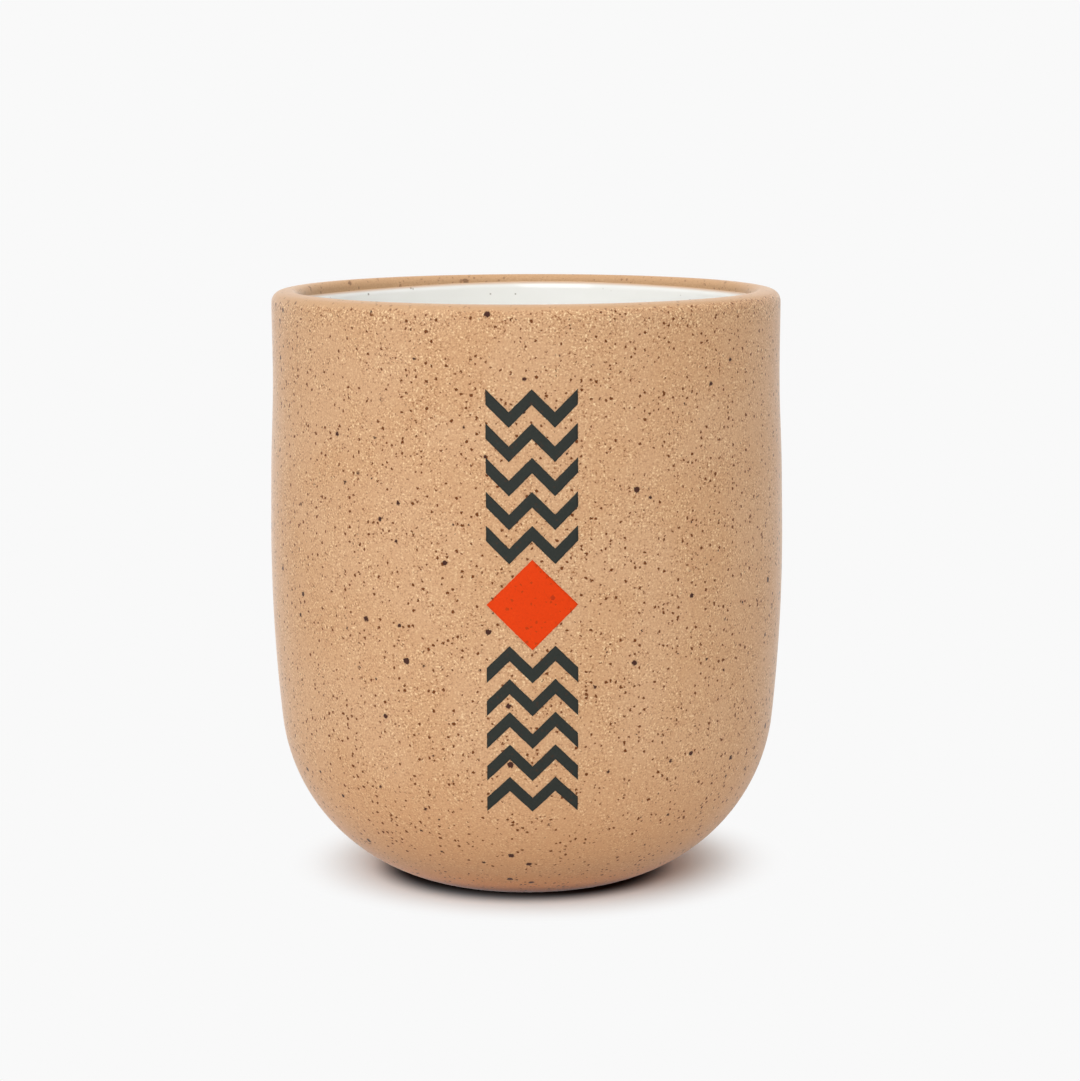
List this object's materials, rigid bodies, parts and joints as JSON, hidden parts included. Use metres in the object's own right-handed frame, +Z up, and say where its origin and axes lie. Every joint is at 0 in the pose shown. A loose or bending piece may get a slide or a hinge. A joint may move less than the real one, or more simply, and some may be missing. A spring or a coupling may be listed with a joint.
{
  "type": "handleless tumbler cup",
  "caption": "Handleless speckled stoneware tumbler with a round heel, a small turned foot, a white glazed inside and a printed geometric column; holds a drink.",
  "frame": {"origin": "bottom centre: on the cup's axis, at the height of the ring that it stands on", "axes": "+Z up along the turning axis; -Y is the printed front; +X is to the right of it"},
  "size_m": [0.089, 0.0891, 0.102],
  "materials": {
    "speckled_stoneware": "unglazed matt buff clay with fine sand grain and dark iron specks",
    "white_glaze": "glossy white liner glaze with a few faint specks",
    "orange_enamel_print": "fired screen print, matt to satin, with clay specks showing faintly",
    "charcoal_enamel_print": "fired screen print, matt to satin"
  },
  "bodies": {
    "root": {"stoneware_body": "speckled_stoneware", "interior_glaze": "white_glaze", "lozenge_print": "orange_enamel_print", "upper_zigzag_print_1": "charcoal_enamel_print", "upper_zigzag_print_2": "charcoal_enamel_print", "upper_zigzag_print_3": "charcoal_enamel_print", "upper_zigzag_print_4": "charcoal_enamel_print", "upper_zigzag_print_5": "charcoal_enamel_print", "lower_zigzag_print_1": "charcoal_enamel_print", "lower_zigzag_print_2": "charcoal_enamel_print", "lower_zigzag_print_3": "charcoal_enamel_print", "lower_zigzag_print_4": "charcoal_enamel_print", "lower_zigzag_print_5": "charcoal_enamel_print"}
  },
  "joints": []
}
